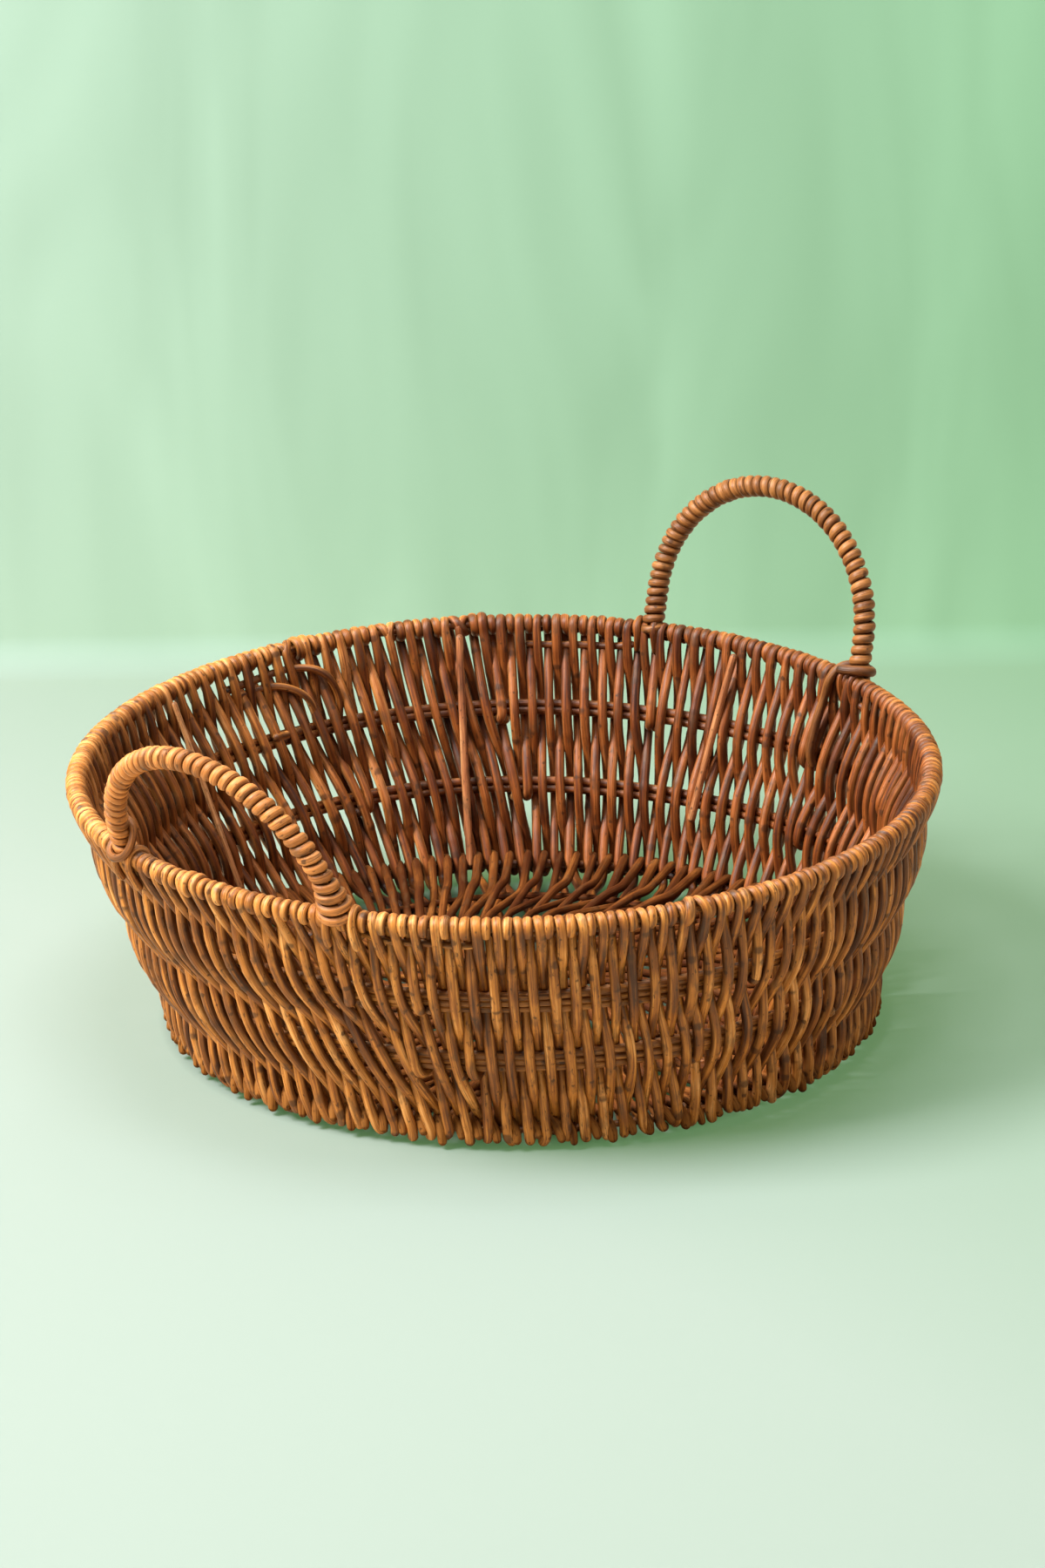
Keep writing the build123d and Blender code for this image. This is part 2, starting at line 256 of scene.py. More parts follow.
# --- pieces ---
# Painted light: in this window the inside of the wall is painted lighter, towards the colour of the outside,
# as if lit from across the basket.
LIT_INSIDE_WINDOW, LIT_INSIDE = (math.radians(104), 0.5, 0.35), 0.6


def shell_of(rod):
    """The rings of vertices around a rod, and how far each vertex faces outward."""
    tangent = unit(np.gradient(rod.points, axis=0), TINY)
    normal = unit(np.cross(tangent, rod.across), TINY)
    side = np.cross(normal, tangent)
    ring = (side[:, None] * (np.cos(AROUND)[None, :, None] * rod.width[:, None, None])
            + normal[:, None] * (np.sin(AROUND)[None, :, None] * rod.depth[:, None, None]))
    radial = unit(rod.points * [1, 1, 0], TINY)
    # Painted light: in one window the inside of the wall is painted lighter, more so towards the top, by
    # adding to how far a vertex faces outward.
    lit_inside = LIT_INSIDE * window(azimuth_of(rod.points), *LIT_INSIDE_WINDOW)
    lit_inside = lit_inside * np.clip(rod.points[:, 2] / RIM_HEIGHT, 0, 1)
    outward = (unit(ring, TINY) * radial[:, None]).sum(2) + lit_inside[:, None]
    return rod.points[:, None] + ring, outward


def quads_between(rings, first):
    """The quads that join a rod's rings, whose vertices are numbered from first."""
    along = np.arange(rings - 1)[:, None] * SIDES + first
    k = np.arange(SIDES)[None, :]
    after = (k + 1) % SIDES
    quads = np.stack([along + k, along + after, along + SIDES + after, along + SIDES + k], axis=2)
    return quads.reshape(-1, 4)


def corner_uv(left, right, low, high):
    """Coordinates of the four corners of every quad."""
    left, right, low, high = np.broadcast_arrays(left, right, low, high)
    corners = [np.stack(corner, 2) for corner in ((left, low), (right, low), (right, high), (left, high))]
    return np.stack(corners, axis=2).reshape(-1, 2)


def rod_uv(points):
    """A rod unrolled in true size: across is the way around it and up is the way along it."""
    length = lengths_along(points)[:, None] + rng.uniform(0, 10)
    left = np.arange(SIDES)[None, :] * 2 * np.pi / SIDES * STRAND_RADIUS
    return corner_uv(left, left + 2 * np.pi / SIDES * STRAND_RADIUS, length[:-1], length[1:])


# A strip has about this many rings for each strip of the piece, and this free share at either side.
STRIP_RINGS, STRIP_MARGIN = 6, 0.04


def strip_uv(rings):
    """Side by side strips that hold all the rings of a piece, in order."""
    columns = max(1, int(round(math.sqrt(rings / STRIP_RINGS))))
    rows = math.ceil(rings / columns)
    column, row = (part[:, None] for part in np.divmod(np.arange(rings), rows))
    filled = 1 - 2 * STRIP_MARGIN
    k = np.arange(SIDES)[None, :]
    left = (column + STRIP_MARGIN + filled * k / SIDES) / columns
    right = (column + STRIP_MARGIN + filled * (k + 1) / SIDES) / columns
    return corner_uv(left, right, row / rows, (row + 1) / rows)


def put(name, data):
    """A new object in the scene."""
    made = bpy.data.objects.new(name, data)
    bpy.context.scene.collection.objects.link(made)
    return made


def build_piece(name, rods, material, nodes):
    """One mesh of many rods, with the attributes and UV maps its material reads."""
    shells, faces, outward, unrolled = [], [], [], []
    first = 0
    for rod in rods:
        rod.points = leaned(rod.points)
        shell, facing = shell_of(rod)
        shells.append(shell.reshape(-1, 3))
        outward.append(facing.ravel())
        faces.append(quads_between(len(rod.points), first))
        unrolled.append(rod_uv(rod.points))
        first += len(shells[-1])
    vertices, faces = np.vstack(shells), np.vstack(faces)
    mesh = bpy.data.meshes.new(name)
    mesh.vertices.add(len(vertices))
    mesh.vertices.foreach_set("co", vertices.astype(np.float32).ravel())
    mesh.loops.add(faces.size)
    mesh.loops.foreach_set("vertex_index", faces.astype(np.int32).ravel())
    mesh.polygons.add(len(faces))
    mesh.polygons.foreach_set("loop_start", np.arange(0, faces.size, 4, dtype=np.int32))
    mesh.polygons.foreach_set("loop_total", np.full(len(faces), 4, dtype=np.int32))
    mesh.polygons.foreach_set("use_smooth", np.ones(len(faces), dtype=bool))
    tones, marks = [np.repeat(rod.tone, SIDES) for rod in rods], [rod.marks.ravel() for rod in rods]
    for label, data in (("tone", tones), ("mark", marks), ("outward", outward)):
        layer = mesh.attributes.new(label, "FLOAT", "POINT")
        layer.data.foreach_set("value", np.concatenate(data).astype(np.float32))
    for label, corners in (("RodUV", np.vstack(unrolled)), ("OFBake", strip_uv(len(faces) // SIDES))):
        layer = mesh.uv_layers.new(name=label)
        layer.data.foreach_set("uv", corners.astype(np.float32).ravel())
    mesh.update()
    mesh.validate()
    mesh.materials.append(material)
    piece = put(name, mesh)
    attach(piece, "root")
    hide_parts(*nodes)


# --- material ---
class Tree:
    """The node tree of a material or a world, and short ways to fill it."""

    def __init__(self, owner):
        owner.use_nodes = True
        self.nodes, self.links = owner.node_tree.nodes, owner.node_tree.links

    def feed(self, socket, value):
        """Links a socket to another node's output, or sets it to a number, vector or colour."""
        if isinstance(value, bpy.types.NodeSocket):
            self.links.new(value, socket)
        else:
            socket.default_value = (*value, 1) if socket.type == "RGBA" else value

    def node(self, kind, inputs, **settings):
        """A new shader node with its settings, its inputs fed by name or number."""
        made = self.nodes.new(f"ShaderNode{kind}")
        for key, value in settings.items():
            setattr(made, key, value)
        for key, value in inputs.items():
            self.feed(made.inputs[key], value)
        return made

    def math(self, operation, *values, clamp=False):
        return self.node("Math", dict(enumerate(values)), operation=operation, use_clamp=clamp).outputs[0]

    def excess(self, value, low, gain):
        """How far a value is over low, times gain, from 0 to 1."""
        return self.math("MULTIPLY", self.math("SUBTRACT", value, low), gain, clamp=True)

    def mix(self, factor, first, second, blend="MIX"):
        """Mixes two colours, which are a Mix node's inputs 6 and 7 and its output 2."""
        inputs = {0: factor, 6: first, 7: second}
        return self.node("Mix", inputs, data_type="RGBA", blend_type=blend).outputs[2]

    def ranged(self, value, low, high, first, last):
        """Goes from first to last as the value goes from low to high."""
        inputs = {"Value": value, "From Min": low, "From Max": high, "To Min": first, "To Max": last}
        return self.node("MapRange", inputs).outputs["Result"]

    def mix_shader(self, factor, first, second):
        return self.node("MixShader", {0: factor, 1: first, 2: second}).outputs[0]


STAIN, FLECK, KNOT = (0.080, 0.036, 0.014), (0.035, 0.012, 0.004), (0.040, 0.014, 0.005)


def willow(name, colours, redness, vary=1.0, edge=0.0, roughness=0.46, specular=0.36):
    """Stained willow: fibres along the rod, per-strand tone, mottling, nicks and dark knots.

    The colours go from dark to gold. Redness is what the inside of the basket is multiplied by,
    vary is how mottled a rod is, and edge is how dark the painted shade on its flanks is.
    """
    dark = colours[0]
    material = bpy.data.materials.new(name)
    tree = Tree(material)
    uv = tree.node("UVMap", {}, uv_map="RodUV").outputs["UV"]
    tone, mark, outward = (tree.node("Attribute", {}, attribute_name=label).outputs["Fac"]
                           for label in ("tone", "mark", "outward"))

    def scaled(around, along):
        """The unrolled rod with this many spots to the metre around it and along it."""
        return tree.node("Mapping", {"Vector": uv, "Scale": (around, along, 1)}).outputs[0]

    def noise(around, along, detail):
        inputs = {"Vector": scaled(around, along), "Scale": 1, "Detail": detail, "Roughness": 0.55}
        return tree.node("TexNoise", inputs, noise_dimensions="2D").outputs["Fac"]

    fibre, streak, patch = noise(1500, 45, 4), noise(620, 24, 3), noise(210, 85, 3)
    blotch, fleck = noise(60, 38, 2), noise(640, 210, 2)

    level = tree.math("MULTIPLY_ADD", tone, 0.09, 0.50)
    for cloud, share in ((streak, 1.15), (blotch, 0.85)):
        shift = tree.math("MULTIPLY", tree.math("SUBTRACT", cloud, 0.5), share * vary)
        level = tree.math("ADD", level, shift)
    ramp = tree.node("ValToRGB", {0: level})
    stops = ramp.color_ramp.elements
    stops[0].position, stops[1].position = 0.08, 0.95
    stops.new(0.38)
    stops.new(0.66)
    for stop, colour in zip(stops, colours):
        stop.color = (*colour, 1)

    plain = ramp.outputs[0]
    # The inside's colour by the outward attribute, which also carries the painted light that shell_of adds
    # inside the wall.
    side = tree.math("MULTIPLY_ADD", outward, 0.75, 0.55, clamp=True)
    colour = tree.mix(side, tree.mix(1.0, plain, redness, "MULTIPLY"), plain)
    spots = {"Vector": scaled(75, 110), "Scale": 1}
    away = tree.node("TexVoronoi", spots, voronoi_dimensions="2D").outputs["Distance"]
    reach = tree.math("MULTIPLY", tree.math("SUBTRACT", patch, 0.38), 0.5)
    nick = tree.excess(reach, away, 22.0)
    knot = tree.math("MAXIMUM", tree.excess(mark, 0.25, 2.6), nick)
    for mask, strength, tint in ((tree.excess(patch, 0.55, 6.0), 0.62, STAIN),
                                 (tree.excess(fibre, 0.47, -5.0), 0.72, dark),
                                 (tree.excess(fleck, 0.66, 14.0), 0.7, FLECK),
                                 (knot, 0.72, KNOT)):
        colour = tree.mix(tree.math("MULTIPLY", mask, strength), colour, tint)
    # Painted shade: the flanks of a rod are darkened where the strands beside it would shade them, less on
    # light worn beads.
    if edge:
        around = tree.node("SeparateXYZ", {0: uv}).outputs["X"]
        turned = tree.math("COSINE", tree.math("MULTIPLY", around, 1 / STRAND_RADIUS))
        flank = tree.excess(tree.math("ABSOLUTE", turned), 0.66, 2.9)
        flank_shade = tree.math("MULTIPLY", tree.excess(tone, 2.0, -1.2), edge)
        colour = tree.mix(tree.math("MULTIPLY", flank, flank_shade), colour, tuple(0.5 * part for part in dark))

    relief = tree.math("ADD", tree.math("MULTIPLY", fibre, 0.7), tree.math("MULTIPLY", patch, 0.5))
    bump = tree.node("Bump", {"Strength": 0.8, "Distance": 0.4 * MM, "Height": relief})
    gloss = tree.math("MULTIPLY_ADD", streak, 0.22, roughness - 0.11)
    shader = tree.nodes["Principled BSDF"].inputs
    for socket, value in (("Base Color", colour), ("Roughness", gloss), ("Normal", bump.outputs[0]),
                          ("Specular IOR Level", specular)):
        tree.feed(shader[socket], value)
    return material


DARK = (0.060, 0.0150, 0.0028)
INNER, PALE_INNER, SAME = (0.50, 0.35, 0.33), (0.75, 0.62, 0.60), (1.0, 1.0, 1.0)
wall_willow = willow("wall_willow", (
    DARK, (0.255, 0.081, 0.013), (0.520, 0.200, 0.034), (0.780, 0.385, 0.125)), INNER, edge=0.6)
# Painted shade: the floor's willow is a darker copy of the wall's, for the shade inside the basket.
shaded_floor_willow = willow("shaded_floor_willow", (
    DARK, (0.088, 0.026, 0.005), (0.165, 0.054, 0.010), (0.28, 0.11, 0.024)), INNER,
    roughness=0.7, specular=0.08)
hoop_willow = willow("hoop_willow", (
    DARK, (0.240, 0.082, 0.016), (0.44, 0.165, 0.032), (0.60, 0.26, 0.065)), INNER)
pale_willow = willow("pale_willow", (
    (0.12, 0.040, 0.014), (0.36, 0.140, 0.05), (0.54, 0.25, 0.09), (0.72, 0.40, 0.17)), PALE_INNER)
wrap_willow = willow("wrap_willow", (
    DARK, (0.340, 0.120, 0.026), (0.600, 0.230, 0.058), (0.80, 0.355, 0.13)), SAME, vary=0.7, edge=0.5)
# Painted shade: a darker copy of the wrap's willow for the right handle, which lies away from the key lamp.
shaded_wrap_willow = willow("shaded_wrap_willow", (
    DARK, (0.180, 0.062, 0.014), (0.350, 0.138, 0.034), (0.52, 0.25, 0.08)), SAME, vary=0.7, edge=0.6)


# --- where each pair of strands passes each hoop ---
# Pairs that turn back around a hoop and end there, so that fewer go on below.
ENDS_AT_UPPER = (6, 15, 74, 78, 96, 110, 122, 131)
ENDS_AT_LOWER = (14, 25, 76, 80, 92, 103, 118, 130)
# Pairs that keep their azimuth all the way down: the strands between them share the room.
STEADY_PAIRS = (0, 12, 49, 82, 100, 117)


def shared_out(going_on):
    """Azimuth as a function of rank among the pairs that go on, and each pair's rank."""
    rank = {pair: place for place, pair in enumerate(going_on)}
    steady_ranks = [rank[pair] for pair in STEADY_PAIRS] + [len(going_on)]
    steady_angles = [pair * PAIR_ANGLE for pair in STEADY_PAIRS] + [2 * math.pi]
    return rank, lambda place: np.interp(place, steady_ranks, steady_angles)


below_upper = [pair for pair in range(PAIRS) if pair not in ENDS_AT_UPPER]
below_lower = [pair for pair in below_upper if pair not in ENDS_AT_LOWER]
lower_rank, lower_angle = shared_out(below_upper)
base_rank, base_angle = shared_out(below_lower)
UPPER_SHARE, LOWER_SHARE = 0.4, 0.4


def level_angles(pair, half):
    """Azimuths at the rim, the upper hoops, the lower hoops and the base."""
    rim = (pair + half) * PAIR_ANGLE
    if pair in lower_rank:
        low = lower_angle(lower_rank[pair] + half)
    else:
        low = lower_angle(np.interp(pair + half, below_upper + [PAIRS], np.arange(len(below_upper) + 1)))
    upper = rim + UPPER_SHARE * (low - rim)
    base = base_angle(base_rank[pair] + half) if pair in base_rank else low
    low = low + LOWER_SHARE * (base - low)
    return np.array([rim, upper, low, base])


LEVELS = np.array([RIM_HEIGHT, UPPER_HEIGHT, LOWER_HEIGHT, BASE_HEIGHT])
AT_UPPER, AT_LOWER, AT_BASE = 1, 2, 3


def through_levels(height, values):
    """A smooth curve of values over the heights of the rim, the hoops and the base."""
    slopes = np.gradient(values, LEVELS)
    k = np.clip(np.searchsorted(-LEVELS, -height, side="right") - 1, 0, len(LEVELS) - 2)
    span = LEVELS[k + 1] - LEVELS[k]
    t = (height - LEVELS[k]) / span
    return ((2 * t**3 - 3 * t**2 + 1) * values[k] + (t**3 - 2 * t**2 + t) * span * slopes[k]
            + (3 * t**2 - 2 * t**3) * values[k + 1] + (t**3 - t**2) * span * slopes[k + 1])


# How far the strands stray sideways at each level.
STRAY = np.array([0.2, 0.45, 0.5, 0.5]) * MM
# A strand's hook over the rim in degrees up from level: where it starts, where it ends, its steps.
TUCKED, OVER, HOOK_STEP = (-72, -58), 181, 6.0
# How far round the rim a hook slants in mm, and how that and its lift off the rim vary.
SLANT, SLANT_SPREAD, LIFT_SPREAD = 0.8, 0.4, 0.02
# How a strand's place in the weave and thickness vary, and how much thinner its end is.
WEAVE_SPREAD, SIZE_SPREAD, TAPER = 0.3 * MM, 0.04, 0.05 * MM
# How light the rim has worn, and by what share of the way.
RIM_TONE, RIM_WEAR = 1.6, 0.85
# Painted shade: in this window, on the side away from the key lamp, the rim is painted darker by this much
# tone.
RIM_SHADE_WINDOW, RIM_SHADE_TONE = (math.radians(-26), -0.17, 0.43), 2.0
# Painted shade and light: in the first window the wall is painted darker under the rim, and in the second it
# is painted paler at its foot.
SHADED_WINDOW, SHADED_TONE = (math.radians(-91), 0.70, 0.16), 1.5
LIT_FOOT_WINDOW, LIT_FOOT_TONE, LIT_FOOT_HEIGHT = (math.radians(-108), 0.10, 0.55), 2.4, 30 * MM
# Painted shade: how much darker a strand is painted under the base, by the side of the rim that it starts
# from.
UNDER_BASE_SHADE = {1: 0.6, -1: 6.0}
# Beads that lie slanted over the rim, by how many mm, and beads that stand over their neighbours.
SLANTED_BEADS = {17: 6.0, 21: 5.0, 27: 6.5, 92: 4.0}
RAISED_BEADS, RAISED = (16, 26, 66, 92), 0.28
# How many degrees a strand's end turns under the base hoop or one over it, and how far in it runs
# where it goes under the floor.
BASE_SWEEP, HOOP_SWEEP, RUN_IN = (45, 80), (115, 140), (0.035, 0.075)


def shade_strand(rod, side):
    """Tones of a wall strand: worn over the rim, painted shade under the base and painted light and shade
    around the basket.
    """
    height, azimuth = rod.points[:, 2], azimuth_of(rod.points)
    worn = np.clip((height - RIM_HEIGHT) / RIM_HOOK + 0.7, 0, 1) * RIM_WEAR
    sunk = np.clip(1 - height / (BASE_HEIGHT + 2 * MM), 0, 0.5)
    rim_shade = window(azimuth, *RIM_SHADE_WINDOW)
    shaded = window(azimuth, *SHADED_WINDOW)
    shaded = shaded * np.clip(3.5 * height / RIM_HEIGHT - 2.0, 0, 1) * (1 - worn)
    lit_foot = window(azimuth, *LIT_FOOT_WINDOW) * np.clip(1 - height / LIT_FOOT_HEIGHT, 0, 1)
    # Painted light at the wall's foot and painted shade under the rim.
    rod.tone += LIT_FOOT_TONE * lit_foot - SHADED_TONE * shaded
    rod.tone += worn * (RIM_TONE - RIM_SHADE_TONE * rim_shade - rod.tone) - UNDER_BASE_SHADE[side] * sunk


def wall_strand(pair, side):
    """side +1: from the outside of the rim, a short bead outside; -1: from the inside."""
    angles = level_angles(pair, 0.0 if side > 0 else 0.5) + rng.normal(0, 1, 4) * STRAY / RIM_RADIUS
    hook = np.radians(np.arange(rng.uniform(*TUCKED), OVER, HOOK_STEP))
    slant = rng.normal(SLANTED_BEADS.get(pair, SLANT), SLANT_SPREAD) * MM / RIM_RADIUS
    lift = 1 + rng.normal(0, LIFT_SPREAD) + (RAISED if pair in RAISED_BEADS else 0.0)
    hook_angle = angles[0] + slant * (hook - np.pi / 2) / np.pi
    hook_line = round_point(hook_angle, RIM_RADIUS + side * RIM_HOOK * lift * np.cos(hook),
                            RIM_HEIGHT + RIM_HOOK * lift * np.sin(hook))
    angles[0] = hook_angle[-1]
    ends_at = AT_UPPER if pair in ENDS_AT_UPPER else AT_LOWER if pair in ENDS_AT_LOWER else AT_BASE
    height = np.arange(RIM_HEIGHT - 1 * MM, LEVELS[ends_at], -1.5 * MM)
    offsets = np.array([-side * RIM_HOOK, side, -side, side])
    offsets[1:] *= WEAVE_OFFSET + np.abs(rng.normal(0, WEAVE_SPREAD, 3))
    place = np.interp(-height, -LEVELS, np.arange(len(LEVELS)))
    k = np.minimum(place.astype(int), AT_LOWER)
    ease = (1 - np.cos(np.pi * (place - k))) / 2
    offset = offsets[k] + (offsets[k + 1] - offsets[k]) * ease
    angle = through_levels(height, angles)
    run = round_point(angle, wall_radius(height) + offset, height)
    line = np.vstack([hook_line, run, strand_end(angle[-1], ends_at, offsets[ends_at])])
    step = np.arange(len(line))
    taper = TAPER * np.interp(step, [0, len(hook) + 4, len(line)], [0, 0, 1])
    size = 1 + rng.normal(0, SIZE_SPREAD)
    grip = np.interp(step, [0, len(hook), len(hook) + 8], [1, 1, 0])
    width = size * (STRAND_RADIUS - taper + grip * (RIM_STRAND_WIDTH - STRAND_RADIUS))
    depth = size * (STRAND_RADIUS - taper + grip * (RIM_STRAND_DEPTH - STRAND_RADIUS))
    rod = grow(line, width, depth, around_axis)
    shade_strand(rod, side)
    return rod


SWIRL_AZIMUTH = math.radians(39)


def floor_swirl(azimuth, radius):
    """How far a floor rod has turned off its radius: the floor was pulled round as it was laid."""
    aside = math.sin(azimuth - SWIRL_AZIMUTH)
    pull = np.clip(0.05 + 0.40 * aside, -0.18, 0.20)
    kink = 0.45 + 0.18 * aside
    bend = BASE_RADIUS - np.clip(30 - 25 * aside, 14, 34) * MM
    inner = max(radius, 0.3 * BASE_RADIUS)
    return pull * math.log(BASE_RADIUS / max(inner, bend)) + kink * max(0.0, math.log(bend / inner))


def strand_end(angle, ends_at, offset):
    """The end of a strand: turned under the rod that it stops at, or run in under the floor."""
    if ends_at == AT_BASE and offset < 0:
        run = [(BASE_RADIUS + offset, BASE_HEIGHT - 1 * MM), (BASE_RADIUS + 1.3 * offset, 5.5 * MM),
               (BASE_RADIUS + 2.4 * offset, 4.2 * MM)]
        run += [(BASE_RADIUS - reach, 4.6 * MM) for reach in (0.018, rng.uniform(*RUN_IN))]
        radius, height = np.array(run).T
        across = rng.normal(-0.10, 0.22) * (BASE_RADIUS - radius) / radius
        swirl = 0.3 * np.array([floor_swirl(angle, r) for r in radius])
        turned = swirl + np.where(radius < BASE_RADIUS, across, 0.0)
        return spline(round_point(angle + turned, radius, height), 6)
    if ends_at == AT_BASE:
        radius, sweep = BASE_RADIUS, rng.uniform(*BASE_SWEEP)
        height = STRAND_RADIUS + abs(offset) + rng.uniform(0.4, 2.8) * MM
    else:
        radius, height, _ = UPPER_BOTTOM if ends_at == AT_UPPER else LOWER_BOTTOM
        sweep = rng.uniform(*HOOP_SWEEP)
    turn = np.radians(np.arange(6, sweep, 8.0))
    drift = np.linspace(0, rng.normal(0.6 * MM, 2.0 * MM), len(turn)) / radius
    return round_point(angle + drift, radius + offset * np.cos(turn), height - abs(offset) * np.sin(turn))


def build_wall():
    per_sector = PAIRS // SECTORS
    for kind, side in (("short_bead", 1), ("long_bead", -1)):
        for sector in range(SECTORS):
            pairs = range(sector * per_sector, (sector + 1) * per_sector)
            rods = [wall_strand(pair, side) for pair in pairs]
            node = f"{kind}_strands_{sector + 1}"
            build_piece(f"woven_{node}", rods, wall_willow, [node])


# --- hoops ---
# Points to a hoop's full turn, its tone, and how far it wavers in or out and up or down.
HOOP_SAMPLES, HOOP_TONE = 420, -0.2
HOOP_WAVER, HOOP_LIFT = 0.35 * MM, 0.3 * MM


def hoop_rod(radius, height, rod, start, span, lap=0.0):
    """A rod bent round the basket, its thin end lying over its butt by lap."""
    angle = np.linspace(start, start + span, int(HOOP_SAMPLES * span / (2 * math.pi)))
    along = np.linspace(0, 1, len(angle))
    past = np.clip((angle - start - 2 * math.pi) / max(lap, 0.01), 0, 1)
    waver = np.interp(along, np.linspace(0, 1, 40), rng.normal(0, HOOP_WAVER, 40))
    lift = np.interp(along, np.linspace(0, 1, 24), rng.normal(0, HOOP_LIFT, 24))
    line = round_point(angle, radius + waver - past * 1.2 * rod, height + lift + past * 1.1 * rod)
    size = rod * np.interp(along, [0, 0.05, 0.9, 1], [0.75, 1.25, 1.2, 0.65])
    return grow(line, size, tone=HOOP_TONE, step=4 * MM, knots=14)


def lapped_hoop(node, radius, height, rod, start, lap=0.25, more=(), material=hoop_willow):
    """A piece of one rod that goes once round the basket and over its own butt, and of rods beside it."""
    rods = [hoop_rod(radius, height, rod, start, 2 * math.pi + lap, lap), *more]
    build_piece(f"bent_{node}", rods, material, [node])


# Extra rods laid beside a hoop: above it or below it, where each starts, and how far round it runs.
EXTRA_RODS = {"upper_hoop_bottom_rod": (-1, 3.0, 1.5), "lower_hoop_top_rod": (1, 3.2, 1.5)}


def build_hoops():
    for number, node in enumerate(PAIRED_HOOPS):
        radius, height, rod = hoop_of(node)
        extra = []
        if node in EXTRA_RODS:
            above, start, span = EXTRA_RODS[node]
            away = above * 2.0 * rod
            extra = [hoop_rod(radius + away * WALL_SLOPE, height + away, 0.9 * rod, start, span)]
        lapped_hoop(node, radius, height, rod, 2.4 + 1.7 * number, more=extra)
    lapped_hoop("rim_hoop", RIM_RADIUS, RIM_HEIGHT, RIM_ROD * 0.9, 3.0, lap=0.05)
    lapped_hoop("base_hoop", BASE_RADIUS, BASE_HEIGHT, HOOP_ROD, 4.0, lap=0.05)


# --- floor ---
FLOOR_HOOP_NAMES = ("outer", "middle", "inner", "centre")
FLOOR_HOOPS = [hoop_of(f"{name}_floor_hoop") for name in FLOOR_HOOP_NAMES]
_, FLOOR_HEIGHT, FLOOR_ROD = FLOOR_HOOPS[0]
SPOKE_RADIUS = 2.45 * MM
SPOKE_HOOK = HOOP_ROD + SEAT + SPOKE_RADIUS
SPOKE_WEAVE = FLOOR_ROD + SEAT + SPOKE_RADIUS
COIL_RADIUS, COIL_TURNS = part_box("floor_centre_coil")[1][0] - FLOOR_ROD, 4
# How high a spoke's butt ends in mm, and how its azimuth, its weave and its thickness vary.
BUTT_HEIGHT, SPOKE_STRAY, SPOKE_RISE, SPOKE_SIZE = (4.0, 8.4), 0.5 * MM, 0.3 * MM, 0.06
# How far down the floor's hoops lie, and how long their laps are.
FLOOR_HOOP_DROP, FLOOR_LAP = 2.2 * MM, 6 * MM
# How many hoops a kind of spoke passes, its places in every eight spokes, and its side of each hoop.
SPOKE_PATTERN = 8
SPOKE_KINDS = {
    "short_floor_spokes": (2, (1, 3, 5, 7), (-1, 1)),
    "medium_floor_spokes": (3, (2, 6), (1, -1, 1)),
    "long_floor_spokes_over_centre": (4, (0,), (1, -1, -1, 1)),
    "long_floor_spokes_under_centre": (4, (4,), (1, -1, -1, -1)),
}


def floor_spoke(azimuth, half_pitch, hoops, sides):
    """A spoke: its butt outside the wall, hooked over the base hoop, woven to its tip."""
    reach = BASE_RADIUS + SPOKE_HOOK
    butt = rng.uniform(*BUTT_HEIGHT) * MM
    knots = [
        (azimuth + half_pitch, reach + 1.2 * MM, butt),
        (azimuth + half_pitch, reach + 0.6 * MM, BASE_HEIGHT + 1 * MM),
        (azimuth + 0.6 * half_pitch, BASE_RADIUS + 0.55 * SPOKE_HOOK, BASE_HEIGHT + 0.9 * SPOKE_HOOK),
        (azimuth + 0.25 * half_pitch, BASE_RADIUS - 0.25 * SPOKE_HOOK, BASE_HEIGHT + 1.25 * SPOKE_HOOK),
    ]
    for (radius, height, _), side in zip(FLOOR_HOOPS[:hoops], sides):
        rise = max(side, -0.45) * SPOKE_WEAVE + rng.normal(0, SPOKE_RISE)
        for shift in (4 * MM, -4 * MM):
            near = radius + shift
            knots.append((azimuth + floor_swirl(azimuth, near), near, height + rise))
    tip = FLOOR_HOOPS[hoops - 1][0] - 6 * MM if hoops < len(FLOOR_HOOPS) else COIL_RADIUS - 2 * MM
    knots.append((azimuth + floor_swirl(azimuth, tip), tip, knots[-1][2]))
    line = spline(round_point(*np.array(knots).T), 8)
    size = 1 + rng.normal(0, SPOKE_SIZE)
    thick = SPOKE_RADIUS * np.interp(np.linspace(0, 1, len(line)), [0, 0.08, 1], [0.84, 1, 0.72])
    rod = grow(line, size * thick, step=3 * MM, knots=1.5)
    # Painted light: a spoke's butt outside the wall is painted lighter, out of the floor willow's painted
    # shade.
    outside = np.hypot(rod.points[:, 0], rod.points[:, 1]) - BASE_RADIUS
    rod.tone += 4.5 * np.clip(outside / SPOKE_HOOK, 0, 1)
    return rod


